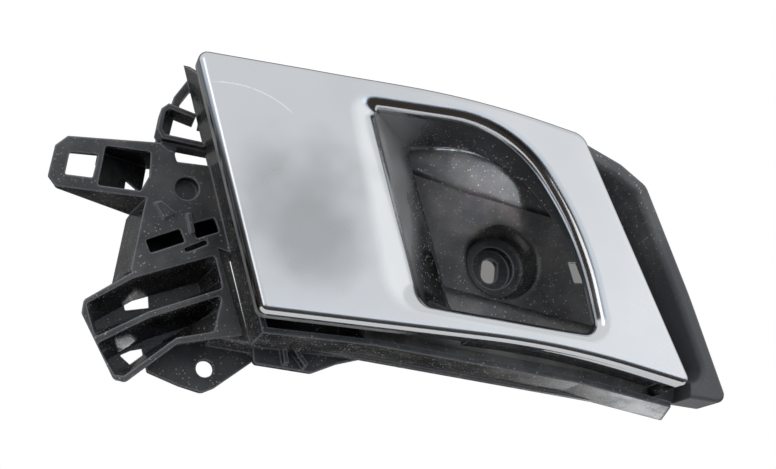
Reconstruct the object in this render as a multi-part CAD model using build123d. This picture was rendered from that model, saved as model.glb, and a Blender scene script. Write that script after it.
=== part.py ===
from build123d import *
import math
import os

# Interior door release handle. Millimetres, +Z up, the visible front faces -Y, and the hinge is at the -X end.
# The origin is the middle of the seat of the main fixing screw, at the bottom of the stepped recess.

# Depth levels along Y, from the front of the lever to the back of the carrier
LEVER_FRONT = -47.0
LEVER_RIM_BACK = -39.0
LIP_FRONT = -40.0
SKIRT_FRONT = -32.0
BEZEL_FRONT = -28.0
FACE_FRONT = -15.0
FLOOR_FRONT = -14.0
FLOOR_BACK = -11.5
SEAT = 0.0
BOSS_BACK = 3.0
CASE_BACK = 9.0

# Wall thicknesses and clearances
SHELL_WALL = 2.4
MOULD_WALL = 2.0
THIN_WALL = 1.6
FRAME_PLATE = 3.0
BEZEL_WALL = 2.0
PART_GAP = 0.3
RUN_GAP = 0.05
HAIR = 0.1
FLOOR_LAP = 1.0
PAST = 60.0

# Lever outline, x, z and corner radius, and its finger opening where the lip starts to turn in
LEVER_OUTLINE = [
    (-121.4, 39.0, 3.0), (-25.0, 44.8, 300.0), (13.6, 40.3, 7.0),
    (59.8, -41.0, 2.5), (12.0, -35.7, 300.0), (-88.0, -42.2, 3.0),
]
OPENING_OUTLINE = [
    (-71.8, 36.7, 7.0), (-10.1, 41.6, 45.0), (19.2, 4.2, 100.0), (31.0, -33.2, 8.5), (-50.0, -34.2, 15.0),
]
LEVER_EDGE_RADIUS = 2.4
LIP_RADIUS = 4.8
LIP_SLOPE = 81.0
RAMP_RADIUS = 18.0
RAMP_SLOPE = 50.0
RAMP_SPREAD = 0.2
SCOOP_RIGHT_DEPTH = 5.2
SCOOP_TRIM_X = 15.0
SCOOP_TRIM_RATE = 0.38
SCOOP_TRIM_SPAN = (-90.0, 80.0)
SCOOP_DEPTHS = [0.1, 0.35, 0.8, 1.5, 2.5, 4.05, 5.2, 6.43, 30.0]
SCOOP_WALL_DEPTHS = [1.9, 2.9, 4.05, 6.43, 30.0]
SCOOP_CORNER = 2.0

# Hinge line, parallel to the lever's left edge
LEAN = math.atan2(33.4, 81.2)
HINGE_X = -94.3
HINGE_Z = 4.1
HINGE_Y = -30.0
HINGE = Plane(
    origin=(HINGE_X, HINGE_Y, HINGE_Z),
    x_dir=(math.cos(LEAN), 0, math.sin(LEAN)),
    z_dir=(-math.sin(LEAN), 0, math.cos(LEAN)),
)
PIN_RADIUS = 2.0
PIN_LOW = -38.5
PIN_HIGH = 34.0
PIN_HEAD_RADIUS = 3.2
PIN_HEAD = 1.4
PIN_CHAMFER = 0.4
RING_HEIGHT = 0.9
RING_BORE = 1.5
RING_RADIUS = 3.6
BUSH_RADIUS = 2.9
KNUCKLE_RADIUS = 4.6
KNUCKLES = {"lower": (-31.6, -24.6), "upper": (22.4, 29.6)}
EARS = [(-36.0, -32.0), (30.0, 34.0)]
EAR_RADIUS = 5.0
ARM_SPAN = (-24.0, -19.0)
ARM_HALF_WIDTH = 2.6
ARM_TIP = 28.0
ARM_EYE_RADIUS = 4.4
CABLE_BORE = 2.1
CABLE_HALF = 0.9
CABLE_GROOVE = 3.0
WEB_HALF = 3.4
GUSSET_REACH = 14.0
GUSSET_BACK = -5.5
GUSSET_INSET = 2.6
ARM_WINDOW = (-5.5, 14.5)
WINDOW_GAP = 2.0
SPRING_SPAN = (-4.0, 5.0)
SPRING_RADIUS = 3.3
SPRING_WIRE = 0.6
SPRING_TURNS = 5
SPRING_LEG = 7.2

# Screw recess in the carrier floor
RECESS_RADIUS = 13.2
RECESS_FOOT_RADIUS = 11.6
RECESS_STEP = -4.0
SEAT_RADIUS = 7.75
RECESS_EDGE = 2.6
RECESS_FOOT_EDGE = 2.0
SCREW_SLOT = (6.2, 9.4)
BOSS_RADIUS = 15.4
CABLE_SIGHT_HOLE = [(24.4, 4.9, 0.4), (28.6, 5.4, 0.4), (32.4, -1.8, 0.4), (27.6, -2.6, 0.4)]

# Carrier outlines
FLOOR_OUTLINE = [
    (-115.6, 36.0, 3.0), (18.0, 38.0, 8.0), (35.0, 30.0, 6.0), (64.0, -43.8, 2.0), (-83.0, -43.8, 2.0),
]
SKIRT_PATH = [(-121.9, 47.6), (-84.2, -45.2), (-47.0, -42.7), (25.0, -42.8), (65.5, -45.9)]
SKIRT_TOP_CUT = (-118.0, FLOOR_FRONT, 46.2)
SKIRT_TOP_SLOPE = 0.55
SKIRT_TOP_BLOCK = (60.0, 40.0, 30.0)
SKIRT_END_CUT = (65.0, FLOOR_FRONT, -44.0)
SKIRT_END_SLOPE = 0.35
SKIRT_END_BLOCK = (60.0, 20.0, 20.0)
FACE_OUTLINE = [
    (-121.8, 14.6, 0.0), (-126.4, -4.7, 1.0), (-127.1, -29.7, 1.0), (-100.6, -15.6, 0.0), (-94.4, -16.5, 0.0),
    (-107.0, 12.2, 0.0), (-118.6, 11.2, 0.8), (-120.2, 14.6, 0.4),
]
LOCATING_HOLE = (-113.8, 2.7)
LOCATING_RADIUS = 4.0
LOCATING_DEPTH = 4.0
FACE_SLOTS = [
    (-117.8, -16.6, 12.0, 4.8, 30.0), (-105.6, -9.6, 8.0, 5.2, 28.0), (-107.6, -16.4, 8.0, 1.6, 33.0),
]
SLOT_CORNER = 0.7
FACE_FLARE = 4.0
CASE_LEFT = -123.0
CASE_LID = [(-130.0, 6.0, 0.0), (-90.0, 6.0, 0.0), (-90.0, -34.0, 0.0), (-130.0, -34.0, 0.0)]
FACE_PAD = [(-123.6, -4.6, 0.3), (-121.4, -3.6, 0.3), (-116.0, -6.6, 0.3), (-119.6, -9.6, 0.3)]
FACE_RIB = [(-112.6, -6.2), (-110.2, -12.6)]
FACE_RELIEF = 1.0
ARM_OUTLINE = [
    (-154.9, 12.3, 0.6), (-158.3, 8.2, 1.0), (-158.6, -2.2, 1.0), (-155.4, -5.4, 1.0), (-124.0, -3.1, 0.0),
    (-121.8, 14.6, 0.0), (-125.4, 16.6, 0.6),
]
ARM_CLIP_HOLE = [(-153.3, 7.1, 0.5), (-144.2, 8.2, 0.5), (-144.6, -0.2, 0.5), (-153.4, -0.9, 0.5)]
ARM_POCKET = [
    (-142.4, 11.7, 0.8), (-142.5, -2.4, 0.8), (-128.6, -1.4, 0.8), (-126.6, 4.5, 0.8), (-127.6, 12.8, 0.8),
]
ARM_POCKET_WINDOW = [(-133.2, 7.2, 0.3), (-125.4, 4.6, 0.3), (-125.4, 1.0, 0.3), (-133.0, 1.0, 0.3)]
ARM_DEEP_X = -127.0
ARM_THIN_X = -156.0
CLIP_PATH = [(-110.5, 18.4), (-124.8, 18.4), (-127.0, 21.4), (-126.8, 28.8), (-124.6, 31.2), (-114.8, 29.4)]
LOOP_PATH = [(-123.6, 30.0), (-123.2, 35.0), (-119.6, 42.4), (-114.6, 43.2)]
LOOP_WIDTH = 2.6
LOOP_FRONT = FACE_FRONT + 3.0
CLIP_BACK = FACE_FRONT + 9.0
CLIP_WEB = [(-126.4, 18.0, 0.0), (-126.0, 29.8, 0.0), (-121.6, 30.0, 0.0), (-122.4, 17.6, 0.0)]
CLIP_LINK = [
    (-124.8, 13.6, 0.0), (-124.8, 20.4, 0.0), (-109.2, 20.4, 0.0), (-108.4, 17.8, 0.0), (-119.4, 17.6, 0.0),
    (-119.4, 13.6, 0.0),
]
CLIP_STEM = [(-113.2, 34.6), (-113.2, 27.0)]
BOX_OUTLINE = [
    (-125.9, -28.6, 0.8), (-139.9, -41.0, 2.0), (-139.8, -45.4, 2.0), (-126.2, -64.6, 2.0), (-122.4, -65.0, 2.0),
    (-108.0, -49.6, 1.0), (-87.6, -43.2, 0.0), (-95.0, -27.4, 0.0), (-100.4, -15.6, 0.0),
]
BOX_UPPER_BAY = [
    (-125.6, -30.8, 0.8), (-138.9, -42.0, 1.0), (-134.2, -52.2, 1.0), (-118.8, -40.8, 8.0), (-96.6, -28.8, 1.0),
    (-101.0, -18.2, 1.0),
]
BOX_LOWER_BAY = [
    (-133.4, -54.2, 1.0), (-126.0, -63.2, 1.0), (-123.2, -63.0, 1.0), (-108.8, -47.8, 1.0), (-97.0, -43.6, 1.0),
    (-96.4, -31.0, 1.0), (-118.4, -42.8, 8.0),
]
BOX_WEB = [(-101.0, -14.0, 0.0), (-97.6, -14.0, 0.0), (-84.6, -45.0, 0.0), (-94.0, -45.0, 0.0)]
BOX_TAPER = 10.0
BOX_BACK = 7.0
BOX_WINDOWS = [
    [(-127.0, -32.6, 0.6), (-119.0, -29.0, 0.6), (-117.6, -35.0, 0.6), (-125.4, -37.4, 0.6)],
    [(-124.6, -52.6, 0.6), (-121.0, -50.2, 0.6), (-111.4, -46.8, 0.6), (-113.6, -51.6, 0.6), (-118.4, -56.6, 0.6)],
]
TAB_OUTLINE = [
    (-118.0, -48.0, 0.0), (-114.6, -56.6, 1.0), (-103.6, -59.4, 6.0), (-95.6, -60.6, 3.0), (-91.6, -58.2, 3.0),
    (-79.6, -46.6, 2.0), (-80.4, -42.0, 0.0), (-100.0, -42.0, 0.0),
]
TAB_HOLE = (-95.9, -52.4)
TAB_HOLE_RADIUS = 3.0
TAB_FRONT = 4.0
FOOT_OUTLINE = [
    (-83.4, -42.0, 0.0), (-81.6, -50.2, 1.5), (-61.6, -49.9, 3.0), (-53.2, -45.2, 3.0), (-45.0, -42.0, 0.0),
]
TAB_WALL = [(-80.6, -44.4), (-97.0, -44.4)]
FOOT_WALL = [(-46.0, -42.4), (-80.6, -44.4)]
FOOT_RIBS = [[(-74.0, -42.8), (-72.0, -49.2)], [(-71.0, -42.8), (-65.0, -49.2)]]
FOOT_FRONT = -7.5
FOOT_BACK = -4.5
BACK_RIBS = [
    (-64.0, -42.0, -52.0, 36.6), (-30.0, -42.0, -30.0, 36.8), (40.0, -42.0, 40.0, 12.0),
    (0.8, -42.0, 0.8, -14.0), (0.8, 14.0, 0.8, 37.0),
]
RIB_BACK = -3.5

# Bezel outlines
BEZEL_OUTLINE = [
    (-66.0, 42.2, 3.0), (10.0, 42.4, 12.0), (31.0, 35.4, 8.0), (41.2, 29.4, 6.0), (60.2, -7.6, 200.0),
    (76.4, -42.6, 3.0), (56.0, -43.0, 4.0), (22.0, -40.4, 4.0), (-50.0, -40.2, 3.0), (-56.0, -28.0, 2.0),
]
LIP_WIDTH = 5.0
LIP_TAPER = 18.0
LIP_OUTER_EDGE = 1.2
LIP_INNER_EDGE = 2.2
LIP_START = [(10.0, 50.0), (90.0, 50.0), (90.0, -60.0), (61.6, -60.0), (61.6, -36.0)]
LIP_BACK = -25.0
BOWL_MOUTH = [
    (-60.0, 39.8, 8.0), (12.0, 39.8, 12.0), (34.0, 27.0, 10.0), (62.0, -37.4, 6.0), (-34.0, -37.6, 8.0),
]
BOWL_FOOT = [
    (-45.0, 25.8, 4.0), (-16.0, 21.4, 30.0), (24.0, 19.2, 4.0), (42.0, -16.6, 4.0), (-24.0, -12.0, 4.0),
]
BOWL_BULGE = (0.45, 0.78)
BEZEL_BOSSES = [(-62.0, 31.0), (-45.5, -33.5), (48.4, 3.0), (66.4, -37.0), (24.0, 33.6)]
BEZEL_BOSS_RADIUS = 3.2

# Lever frame
FRAME_BACK = LEVER_RIM_BACK + 1.0
FRAME_LEFT = [
    (-130.0, 60.0, 0.0), (-63.6, 60.0, 0.0), (-65.6, 36.0, 3.0), (-46.0, -32.6, 3.0), (60.0, -32.0, 0.0),
    (70.0, -60.0, 0.0), (-130.0, -60.0, 0.0),
]
FRAME_BAND = (-18.0, 50.0)
FRAME_BAND_BACK = -30.5
FRAME_BAND_STEP = 0.5
FRAME_BAND_INSET = SHELL_WALL + 1.0
FRAME_BAND_TOP = -31.2
LEVER_BOSSES = [(-113.0, 34.4), (-74.5, 31.0), (-84.0, -33.0), (-54.5, -33.4)]
LEVER_BOSS_RADIUS = 2.8
BOSS_FLOOR = 3.0
STOPS = {"left": (-53.0, -20.0, FRAME_BACK), "right": (53.4, -40.0, LEVER_RIM_BACK)}
STOP_RADIUS = 1.8
STOP_STEM_RADIUS = 1.2
STOP_EDGE = 0.8

# Small screws
SCREW_SHANK = 1.3
SCREW_HEAD = 2.7
SCREW_HEAD_HEIGHT = 1.7
SCREW_HEAD_EDGE = 0.8
SCREW_CROSS = (3.2, 0.7)
BEZEL_SCREW_LENGTH = 8.0
LEVER_SCREW_LENGTH = 5.6


def outline(corners):
    """Closed face in x and z from corners that each carry their own radius."""
    face = make_face(Polyline(*[(x, z) for x, z, _ in corners], close=True))
    for x, z, radius in corners:
        if radius > 0:
            corner = face.vertices().sort_by_distance((x, z, 0))[0]
            face = fillet(corner, radius)
    return face


def slab(face, back, front):
    """Prism of an x and z face between two depths."""
    return extrude(Plane.XZ.offset(-back) * face, back - front)


def post(x, z, radius, back, front):
    """Round post along Y."""
    return slab(Pos(x, z) * Circle(radius), back, front)


def inset_path(path, distance):
    """The same open path moved sideways, with mitred corners."""
    normals = []
    for (x0, z0), (x1, z1) in zip(path, path[1:]):
        length = math.hypot(x1 - x0, z1 - z0)
        normals.append((-(z1 - z0) / length, (x1 - x0) / length))
    moved = []
    for index, (x, z) in enumerate(path):
        before = normals[max(index - 1, 0)]
        after = normals[min(index, len(normals) - 1)]
        mitre = 1 + before[0] * after[0] + before[1] * after[1]
        moved.append((x + distance * (before[0] + after[0]) / mitre, z + distance * (before[1] + after[1]) / mitre))
    return moved


def band(path, thickness):
    """Face of a wall that follows an open path on its left side."""
    return make_face(Polyline(*path, *reversed(inset_path(path, thickness)), close=True))


def in_hinge(shape):
    """Places a shape built on the hinge line: x across the lever, y inwards, z along the pin."""
    return HINGE * shape


def hinge_block(x_range, y_range, z_range):
    """Block given by its ranges on the hinge line."""
    size = [high - low for low, high in (x_range, y_range, z_range)]
    middle = [(high + low) / 2 for low, high in (x_range, y_range, z_range)]
    return Pos(*middle) * Box(*size)


def hinge_post(radius, z_range):
    """Round post along the hinge line."""
    return Pos(0, 0, z_range[0]) * extrude(Circle(radius), z_range[1] - z_range[0])


def turn_in(depth, radius, slope):
    """How far a wall has come in at a depth, after a rounded lip that ends in a steady slope."""
    angle = math.radians(slope)
    bend = radius * (1 - math.cos(angle))
    if depth < bend:
        return math.sqrt(2 * radius * depth - depth * depth)
    return radius * math.sin(angle) + (depth - bend) / math.tan(angle)


def unit_across(x0, z0, x1, z1):
    """Unit normal on the inner side of a polygon's side."""
    length = math.hypot(x1 - x0, z1 - z0)
    return (z1 - z0) / length, -(x1 - x0) / length


def moved_corners(corners, distances):
    """Corners of a polygon whose sides move inwards, each by one distance at its start and one at its end."""
    lines = []
    for (x0, z0, _), (x1, z1, _), (first, last) in zip(corners, corners[1:] + corners[:1], distances):
        across = unit_across(x0, z0, x1, z1)
        start = (x0 + first * across[0], z0 + first * across[1])
        end = (x1 + last * across[0], z1 + last * across[1])
        across = unit_across(*start, *end)
        lines.append((across, across[0] * start[0] + across[1] * start[1]))
    moved = []
    for index in range(len(corners)):
        (a0, b0), c0 = lines[index - 1]
        (a1, b1), c1 = lines[index]
        turn = a0 * b1 - a1 * b0
        moved.append(((c0 * b1 - c1 * b0) / turn, (a0 * c1 - a1 * c0) / turn))
    return moved


def scoop_section(depth, wall):
    """Section of the finger opening at a depth below the lever face, or of the outside of its wall."""
    behind = wall / math.sin(math.radians(RAMP_SLOPE))
    ramp = turn_in(depth, RAMP_RADIUS, RAMP_SLOPE)
    ramp_ends = (ramp * (1 + RAMP_SPREAD) - behind, ramp * (1 - RAMP_SPREAD) - behind)
    side = turn_in(depth, LIP_RADIUS, LIP_SLOPE) - wall
    corners = moved_corners(OPENING_OUTLINE, [(side, side)] * 4 + [ramp_ends])
    radii = [max(radius - side, SCOOP_CORNER) for _, _, radius in OPENING_OUTLINE]
    face = outline([(x, z, radius) for (x, z), radius in zip(corners, radii)])
    return Plane.XZ.offset(-(LEVER_FRONT + depth)) * face


def scoop_solid(depths, wall):
    """Solid through the sections of the finger opening."""
    return loft([scoop_section(depth, wall) for depth in depths], ruled=True)


def scoop_trim():
    """Keeps the scoop deep on its left and shallow on its right."""
    left, right = SCOOP_TRIM_SPAN
    shallow = LEVER_FRONT + SCOOP_RIGHT_DEPTH
    deep = shallow + SCOOP_TRIM_RATE * (SCOOP_TRIM_X - left)
    front = LEVER_FRONT - SHELL_WALL
    edge = [(left, front), (right, front), (right, shallow), (SCOOP_TRIM_X, shallow), (left, deep)]
    return Pos(0, 0, -PAST) * extrude(make_face(Polyline(*edge, close=True)), 2 * PAST)


def build_lever_shell():
    """Plated loop: a shallow pan with rolled edges and a scoop that curves in on its left and top."""
    face = outline(LEVER_OUTLINE)
    pan = slab(face, LEVER_RIM_BACK, LEVER_FRONT)
    pan = fillet(pan.faces().sort_by(Axis.Y)[0].edges(), LEVER_EDGE_RADIUS)
    pan -= slab(offset(face, -SHELL_WALL), LEVER_RIM_BACK, LEVER_FRONT + SHELL_WALL)
    for x, z in LEVER_BOSSES:
        pan += post(x, z, LEVER_BOSS_RADIUS, FRAME_BACK - FRAME_PLATE, LEVER_FRONT + SHELL_WALL)
        pan -= post(x, z, SCREW_SHANK, FRAME_BACK - FRAME_PLATE, LEVER_FRONT + BOSS_FLOOR)
    outer = scoop_solid(SCOOP_WALL_DEPTHS, SHELL_WALL) & scoop_trim()
    mouth = extrude(scoop_section(SCOOP_DEPTHS[0], 0.0), SHELL_WALL)
    return pan + outer - scoop_solid(SCOOP_DEPTHS, 0.0) - mouth


def build_lever_frame():
    """Inner frame of the lever with the two knuckles, the lower band and the cable arm."""
    inside = offset(outline(LEVER_OUTLINE), -(SHELL_WALL + RUN_GAP))
    frame = slab(inside & outline(FRAME_LEFT), FRAME_BACK, FRAME_BACK - FRAME_PLATE)
    low, high = FRAME_BAND
    window = Pos((low + high) / 2, FRAME_BAND_TOP - PAST / 2) * Rectangle(high - low, PAST)
    edge = outline(LEVER_OUTLINE)
    strip = (offset(edge, -FRAME_BAND_STEP) - offset(edge, -FRAME_BAND_INSET)) & window
    frame += slab(strip, FRAME_BAND_BACK, LEVER_RIM_BACK + PART_GAP)
    for x, z in LEVER_BOSSES:
        frame -= post(x, z, SCREW_SHANK + RUN_GAP, FRAME_BACK, FRAME_BACK - FRAME_PLATE)
    plate = FRAME_BACK - FRAME_PLATE / 2 - HINGE_Y
    for span in KNUCKLES.values():
        web = hinge_block((-WEB_HALF, WEB_HALF), (plate, 0), span)
        thin = (span[0] + GUSSET_INSET, span[1] - GUSSET_INSET)
        gusset = hinge_block((0, GUSSET_REACH), (plate, GUSSET_BACK), thin)
        frame += in_hinge(hinge_post(KNUCKLE_RADIUS, span) + web + gusset)
    lever = hinge_block((-ARM_HALF_WIDTH, ARM_HALF_WIDTH), (plate, ARM_TIP), ARM_SPAN)
    eye = Pos(0, ARM_TIP, 0) * hinge_post(ARM_EYE_RADIUS, ARM_SPAN)
    web = hinge_block((-WEB_HALF, WEB_HALF), (plate, 0), (KNUCKLES["lower"][1], ARM_SPAN[1]))
    frame += in_hinge(lever + eye + web + hinge_post(KNUCKLE_RADIUS, ARM_SPAN))
    middle = (ARM_SPAN[0] + ARM_SPAN[1]) / 2
    throat = hinge_block((0, ARM_EYE_RADIUS), (ARM_TIP - CABLE_HALF, ARM_TIP + CABLE_HALF), ARM_SPAN)
    low, high = middle - CABLE_HALF, middle + CABLE_HALF
    reach = (ARM_TIP - CABLE_GROOVE, ARM_TIP + ARM_EYE_RADIUS)
    groove = hinge_block((-ARM_EYE_RADIUS, ARM_EYE_RADIUS), reach, (low, high))
    frame -= in_hinge(Pos(0, ARM_TIP, 0) * hinge_post(CABLE_BORE, ARM_SPAN) + throat + groove)
    for span in KNUCKLES.values():
        frame -= in_hinge(hinge_post(BUSH_RADIUS, span))
    frame -= in_hinge(hinge_post(PIN_RADIUS + 2 * PART_GAP, (KNUCKLES["lower"][1], ARM_SPAN[1])))
    return frame


def build_floor():
    """Floor of the carrier with the stepped screw recess, its slot and the small sight hole."""
    floor = slab(outline(FLOOR_OUTLINE), FLOOR_BACK, FLOOR_FRONT)
    for x0, z0, x1, z1 in BACK_RIBS:
        floor += slab(band([(x0, z0), (x1, z1)], THIN_WALL), RIB_BACK, FLOOR_BACK)
    floor += post(0, 0, BOSS_RADIUS, BOSS_BACK, FLOOR_FRONT)
    profile = [
        (0, FLOOR_FRONT - FLOOR_LAP), (RECESS_RADIUS + RECESS_EDGE, FLOOR_FRONT - FLOOR_LAP),
        (RECESS_RADIUS + RECESS_EDGE, FLOOR_FRONT), (RECESS_RADIUS, FLOOR_FRONT),
        (RECESS_FOOT_RADIUS, RECESS_STEP), (SEAT_RADIUS, RECESS_STEP), (SEAT_RADIUS, SEAT), (0, SEAT),
    ]
    well = make_face(Polyline(*profile, close=True))
    well = fillet(well.vertices().sort_by_distance((RECESS_RADIUS, FLOOR_FRONT, 0))[0], RECESS_EDGE - HAIR)
    well = fillet(well.vertices().sort_by_distance((RECESS_FOOT_RADIUS, RECESS_STEP, 0))[0], RECESS_FOOT_EDGE)
    floor -= revolve(well, Axis.Y)
    slot = Rot(0, 0, 90) * SlotOverall(SCREW_SLOT[1], SCREW_SLOT[0])
    floor -= slab(slot, BOSS_BACK, SEAT)
    return floor - slab(outline(CABLE_SIGHT_HOLE), FLOOR_BACK, FLOOR_FRONT)


def build_skirt():
    """Skirt wall down the left and along the bottom, cut away at its top and right ends."""
    skirt = slab(band(SKIRT_PATH, MOULD_WALL), FLOOR_BACK, SKIRT_FRONT)
    top_cut = Plane(origin=SKIRT_TOP_CUT, x_dir=(0, 1, SKIRT_TOP_SLOPE), z_dir=(1, 0, 0))
    skirt -= top_cut * (Pos(0, SKIRT_TOP_BLOCK[1] / 2) * Box(*SKIRT_TOP_BLOCK))
    end_cut = Plane(origin=SKIRT_END_CUT, x_dir=(SKIRT_END_SLOPE, 1, 0), z_dir=(0, 0, 1))
    skirt -= end_cut * (Pos(0, -SKIRT_END_BLOCK[1] / 2) * Box(*SKIRT_END_BLOCK))
    return skirt


def build_face_case():
    """Box behind the lever's left end with the locating hole and the slots in its face."""
    face = outline(FACE_OUTLINE)
    flared = outline([(x - FACE_FLARE if x < CASE_LEFT else x, z, radius) for x, z, radius in FACE_OUTLINE])
    hollow = offset(face, -MOULD_WALL, kind=Kind.INTERSECTION)
    ends = (Plane.XZ.offset(-FACE_FRONT), Plane.XZ.offset(-CASE_BACK))
    case = loft([ends[0] * face, ends[1] * flared], ruled=True)
    case -= loft([ends[0] * hollow, ends[1] * offset(flared, -MOULD_WALL, kind=Kind.INTERSECTION)], ruled=True)
    case += slab(face, FACE_FRONT + MOULD_WALL, FACE_FRONT)
    case += slab(hollow & outline(CASE_LID), CASE_BACK, CASE_BACK - MOULD_WALL)
    x, z = LOCATING_HOLE
    case += post(x, z, LOCATING_RADIUS + MOULD_WALL, FACE_FRONT + LOCATING_DEPTH + MOULD_WALL, FACE_FRONT)
    case -= post(x, z, LOCATING_RADIUS, FACE_FRONT + LOCATING_DEPTH, FACE_FRONT)
    for x, z, length, width, turn in FACE_SLOTS:
        slot = Pos(x, z) * Rot(0, 0, turn) * RectangleRounded(length, width, min(SLOT_CORNER, width / 2 - HAIR))
        case -= slab(slot, FACE_FRONT + MOULD_WALL, FACE_FRONT)
    case += slab(outline(FACE_PAD), FACE_FRONT + MOULD_WALL, FACE_FRONT - FACE_RELIEF)
    case += slab(band(FACE_RIB, THIN_WALL), FACE_FRONT + MOULD_WALL, FACE_FRONT - FACE_RELIEF)
    return case


def build_arm():
    """Wedge shaped side arm with the square clip hole and the open pocket."""
    face = outline(ARM_OUTLINE)
    arm = slab(face, CASE_BACK, FACE_FRONT)
    hollow = offset(face, -THIN_WALL, kind=Kind.INTERSECTION)
    arm -= slab(hollow, CASE_BACK, FACE_FRONT + MOULD_WALL)
    wall = Pos(ARM_POCKET[0][0] - THIN_WALL / 2, 0) * Rectangle(THIN_WALL, PAST)
    arm += slab(wall & face, CASE_BACK, FACE_FRONT)
    arm -= slab(outline(ARM_POCKET), CASE_BACK, FACE_FRONT)
    floor = slab(offset(outline(ARM_POCKET), MOULD_WALL) - outline(ARM_POCKET_WINDOW), CASE_BACK, FACE_FRONT)
    run = [
        (ARM_THIN_X, FACE_FRONT + MOULD_WALL), (ARM_DEEP_X, CASE_BACK),
        (ARM_DEEP_X, CASE_BACK - MOULD_WALL), (ARM_THIN_X, FACE_FRONT),
    ]
    arm += floor & (Pos(0, 0, -PAST / 2) * extrude(make_face(Polyline(*run, close=True)), PAST))
    arm -= slab(outline(ARM_CLIP_HOLE), CASE_BACK, FACE_FRONT)
    slope = [
        (ARM_THIN_X - PAST, FACE_FRONT + MOULD_WALL), (ARM_THIN_X, FACE_FRONT + MOULD_WALL),
        (ARM_DEEP_X, CASE_BACK), (ARM_DEEP_X, CASE_BACK + PAST), (ARM_THIN_X - PAST, CASE_BACK + PAST),
    ]
    return arm - Pos(0, 0, -PAST / 2) * extrude(make_face(Polyline(*slope, close=True)), PAST)


def build_clip():
    """C shaped clip and the loop bracket above it, both joined to the skirt."""
    clip = slab(band(CLIP_PATH, -THIN_WALL), CLIP_BACK, FACE_FRONT)
    clip += slab(outline(CLIP_WEB), CLIP_BACK, CLIP_BACK - MOULD_WALL)
    clip += slab(band(LOOP_PATH, -LOOP_WIDTH), CLIP_BACK, LOOP_FRONT)
    clip += slab(outline(CLIP_LINK), CLIP_BACK, LOOP_FRONT)
    return clip + slab(band(CLIP_STEM, THIN_WALL), CLIP_BACK, LOOP_FRONT)


def build_cable_box():
    """Two tapered cable bays side by side, open to the front, with windows in their floors."""
    box = extrude(Plane.XZ.offset(-FACE_FRONT) * outline(BOX_OUTLINE), FACE_FRONT - BOX_BACK, taper=BOX_TAPER)
    for bay in (BOX_UPPER_BAY, BOX_LOWER_BAY):
        depth = BOX_BACK - MOULD_WALL - FACE_FRONT
        box -= extrude(Plane.XZ.offset(-FACE_FRONT) * outline(bay), -depth, taper=BOX_TAPER)
    for window in BOX_WINDOWS:
        box -= slab(outline(window), BOX_BACK, BOX_BACK - MOULD_WALL)
    return box + slab(outline(BOX_WEB), FACE_FRONT + 2 * MOULD_WALL, FACE_FRONT + MOULD_WALL)


def build_tab():
    """Lower fixing tab with its round hole, and the foot under the skirt with its two ribs."""
    tab = slab(outline(TAB_OUTLINE), BOX_BACK, TAB_FRONT)
    tab -= post(*TAB_HOLE, TAB_HOLE_RADIUS, BOX_BACK, TAB_FRONT)
    tab += slab(band(TAB_WALL, -MOULD_WALL), BOX_BACK, FLOOR_FRONT + FLOOR_LAP)
    tab += slab(outline(FOOT_OUTLINE), FOOT_BACK, FOOT_FRONT)
    tab += slab(band(FOOT_WALL, -MOULD_WALL), FOOT_BACK, FLOOR_FRONT + FLOOR_LAP)
    for rib in FOOT_RIBS:
        tab += slab(band(rib, THIN_WALL), FOOT_FRONT, FLOOR_BACK)
    return tab


def build_ears():
    """Two ears that hold the hinge pin."""
    reach = FLOOR_FRONT + FLOOR_LAP - HINGE_Y
    ears = []
    for span in EARS:
        ears.append(hinge_post(EAR_RADIUS, span) + hinge_block((-EAR_RADIUS, EAR_RADIUS), (0, reach), span))
    return in_hinge(ears[0] + ears[1])


def build_carrier():
    """Carrier moulding in one piece."""
    carrier = build_floor() + build_skirt() + build_ears() + build_face_case()
    carrier += build_arm() + build_clip() + build_cable_box() + build_tab()
    window = (ARM_SPAN[0] - WINDOW_GAP, ARM_SPAN[1] + WINDOW_GAP)
    floor_reach = (FLOOR_FRONT - FLOOR_LAP - HINGE_Y, FLOOR_BACK + FLOOR_LAP - HINGE_Y)
    carrier -= in_hinge(hinge_block(ARM_WINDOW, floor_reach, window))
    for span in EARS:
        carrier -= in_hinge(hinge_post(PIN_RADIUS, span))
    for x, z in BEZEL_BOSSES:
        carrier -= post(x, z, SCREW_SHANK + RUN_GAP, FLOOR_BACK, FLOOR_FRONT)
    return carrier


def bowl(grow):
    """Solid of the finger bowl, concave between its mouth and its foot, grown sideways by a wall."""
    sections = []
    depth_share, width_share = BOWL_BULGE
    for deep, wide in ((0.0, 1.0), (1.0 - depth_share, width_share), (1.0, 0.0)):
        corners = []
        for (x1, z1, r1), (x0, z0, r0) in zip(BOWL_MOUTH, BOWL_FOOT):
            corners.append((x0 + (x1 - x0) * wide, z0 + (z1 - z0) * wide, r0 + (r1 - r0) * wide))
        corners = [
            (x, z, radius + grow)
            for (x, z), (_, _, radius) in zip(moved_corners(corners, [(-grow, -grow)] * len(corners)), corners)
        ]
        y = BEZEL_FRONT + (FLOOR_FRONT - BEZEL_FRONT) * deep
        sections.append(Plane.XZ.offset(-y) * outline(corners))
    return loft(sections)


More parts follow.
